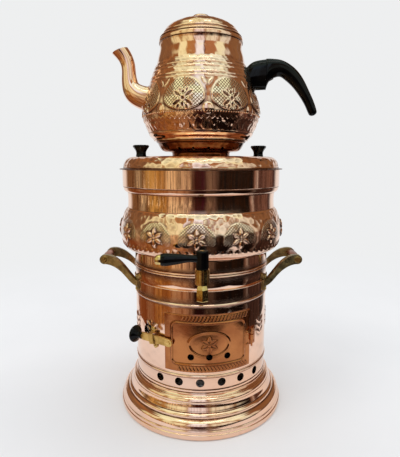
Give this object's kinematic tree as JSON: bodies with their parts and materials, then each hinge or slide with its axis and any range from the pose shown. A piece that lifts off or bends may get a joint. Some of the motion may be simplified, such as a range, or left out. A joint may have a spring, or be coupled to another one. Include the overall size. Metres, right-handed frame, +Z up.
{
  "type": "samovar",
  "caption": "Wood-fired copper samovar with a bulged water vessel, fire door with sliding bolt, front tap, side handles and a spouted teapot on top.",
  "frame": {"origin": "middle of the foot ring's lower face, at table level on the samovar's own axis", "axes": "+Z up along the samovar's axis, the tap and the fire door face -Y, the teapot's spout points to -X and its horn to +X"},
  "size_m": [0.3077, 0.2656, 0.5513],
  "materials": {
    "copper": "polished copper",
    "copper_inside": "tinned copper inside",
    "brass": "polished",
    "aged_brass": "cast, aged",
    "bakelite": "glossy black",
    "iron": "dull",
    "steel": "plain",
    "washer": "matt"
  },
  "bodies": {
    "samovar": {"base_skirt": "copper", "vent_band": "copper", "firebox_casing": "copper", "vessel_floor": "copper", "vessel_wall": "copper", "belly_band": "copper", "neck_band": "copper", "rim_band": "copper", "fire_tube": "copper_inside", "foot_ring": "copper", "casing_hinge_leaf": "copper", "left_grip": "copper", "right_grip": "copper", "ash_plate": "steel", "grate": "iron", "grate_ledge": "iron", "latch_strap": "brass", "strap_rivets": "brass", "tap_body": "brass", "tap_spout": "brass", "tap_flange": "brass", "tap_nut": "brass", "left_front_arm": "aged_brass", "left_rear_arm": "aged_brass", "right_front_arm": "aged_brass", "right_rear_arm": "aged_brass", "handle_rivets": "brass", "hinge_rivets": "brass", "left_grip_rod": "brass", "right_grip_rod": "brass", "hinge_pin": "steel", "tap_washer": "washer"},
    "lid": {"lid": "copper", "lid_skirt": "copper_inside", "lid_knob_screws": "steel", "left_lid_knob": "bakelite", "right_lid_knob": "bakelite"},
    "crown": {"crown_neck": "copper", "crown": "copper"},
    "teapot": {"teapot_base": "copper", "teapot_body": "copper", "teapot_spout": "copper", "teapot_handle_root": "bakelite", "teapot_handle": "bakelite", "teapot_handle_screws": "steel"},
    "teapot_lid": {"teapot_lid": "copper", "teapot_lid_knob": "copper", "teapot_lid_rivet": "brass"},
    "fire_door": {"fire_door": "copper", "door_hinge_leaf": "copper", "door_rivets": "brass"},
    "bolt": {"latch_bolt": "brass", "latch_stop": "brass", "latch_knob": "bakelite"},
    "tap_plug": {"tap_plug": "brass", "tap_handle": "bakelite", "tap_handle_cap": "brass", "tap_screw": "brass"}
  },
  "joints": [
    {"name": "lid_lift", "type": "slide", "parent": "samovar", "child": "lid", "axis": [0, 0, 1], "range_m": [0, 0.12]},
    {"name": "crown_lift", "type": "slide", "parent": "lid", "child": "crown", "axis": [0, 0, 1], "range_m": [0, 0.05]},
    {"name": "teapot_lift", "type": "slide", "parent": "crown", "child": "teapot", "axis": [0, 0, 1], "range_m": [0, 0.1]},
    {"name": "teapot_lid_lift", "type": "slide", "parent": "teapot", "child": "teapot_lid", "axis": [0, 0, 1], "range_m": [0, 0.06]},
    {"name": "fire_door_hinge", "type": "hinge", "parent": "samovar", "child": "fire_door", "pos_m": [0.06835, -0.07381, 0.1214], "axis": [0, 0, 1], "range_deg": [0, 110]},
    {"name": "bolt_slide", "type": "slide", "parent": "samovar", "child": "bolt", "axis": [-0.848, 0.5299, 0], "range_m": [0, 0.018]},
    {"name": "tap_turn", "type": "hinge", "parent": "samovar", "child": "tap_plug", "pos_m": [0.0014, -0.1362, 0.2228], "axis": [0, 0, 1], "range_deg": [0, 90]}
  ]
}
